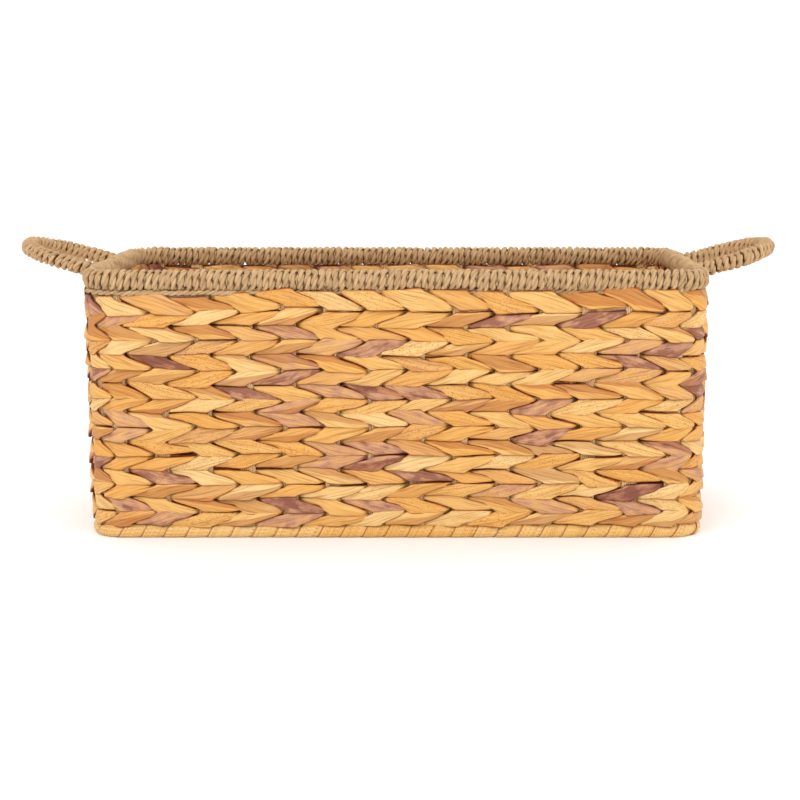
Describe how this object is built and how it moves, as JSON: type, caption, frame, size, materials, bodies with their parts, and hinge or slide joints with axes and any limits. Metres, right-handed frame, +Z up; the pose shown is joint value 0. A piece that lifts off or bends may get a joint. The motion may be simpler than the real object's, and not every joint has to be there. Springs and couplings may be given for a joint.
{
  "type": "bread basket",
  "caption": "Rectangular hand-twined plant-fibre basket with a cord-wrapped rim and a fixed looped handle at each end, for bread, fruit or shelf storage.",
  "frame": {"origin": "centre of the underside, on the surface the basket rests on", "axes": "+X along the length towards the right-hand handle, +Y from front to back, +Z up"},
  "size_m": [0.575, 0.2026, 0.2109],
  "materials": {
    "water_hyacinth": "dried water hyacinth strips, golden tan with pinkish, orange and brown leaves, satin, finely ribbed",
    "hyacinth_wrap": "smooth pale golden hyacinth strip, wound in a close spiral",
    "seagrass_cord": "two-ply twisted seagrass cord, khaki beige, matte",
    "fibre_stakes": "dry peeled plant stems, pale straw, matte",
    "iron_wire": "brown lacquered steel wire"
  },
  "bodies": {
    "root": {"frame_rim_ring": "iron_wire", "frame_base_ring": "iron_wire", "frame_corner_posts": "iron_wire", "frame_handle_left": "iron_wire", "frame_handle_right": "iron_wire", "stakes_front": "fibre_stakes", "stakes_back": "fibre_stakes", "stakes_left": "fibre_stakes", "stakes_right": "fibre_stakes", "base_stakes": "fibre_stakes", "wall_row_01": "water_hyacinth", "wall_row_02": "water_hyacinth", "wall_row_03": "water_hyacinth", "wall_row_04": "water_hyacinth", "wall_row_05": "water_hyacinth", "wall_row_06": "water_hyacinth", "wall_row_07": "water_hyacinth", "wall_row_08": "water_hyacinth", "wall_row_09": "water_hyacinth", "wall_row_10": "water_hyacinth", "wall_row_11": "water_hyacinth", "wall_row_12": "water_hyacinth", "wall_row_13": "water_hyacinth", "wall_row_14": "water_hyacinth", "wall_row_15": "water_hyacinth", "wall_row_16": "water_hyacinth", "base_row_01": "water_hyacinth", "base_row_02": "water_hyacinth", "base_row_03": "water_hyacinth", "base_row_04": "water_hyacinth", "base_row_05": "water_hyacinth", "base_row_06": "water_hyacinth", "base_row_07": "water_hyacinth", "base_row_08": "water_hyacinth", "base_row_09": "water_hyacinth", "base_row_10": "water_hyacinth", "base_row_11": "water_hyacinth", "base_row_12": "water_hyacinth", "base_row_13": "water_hyacinth", "base_row_14": "water_hyacinth", "base_row_15": "water_hyacinth", "base_row_16": "water_hyacinth", "base_row_17": "water_hyacinth", "base_edge_wrap": "hyacinth_wrap", "rim_core": "fibre_stakes", "rim_binding": "seagrass_cord", "rim_wrap": "seagrass_cord", "handle_wrap_left": "seagrass_cord", "handle_wrap_right": "seagrass_cord"}
  },
  "joints": []
}
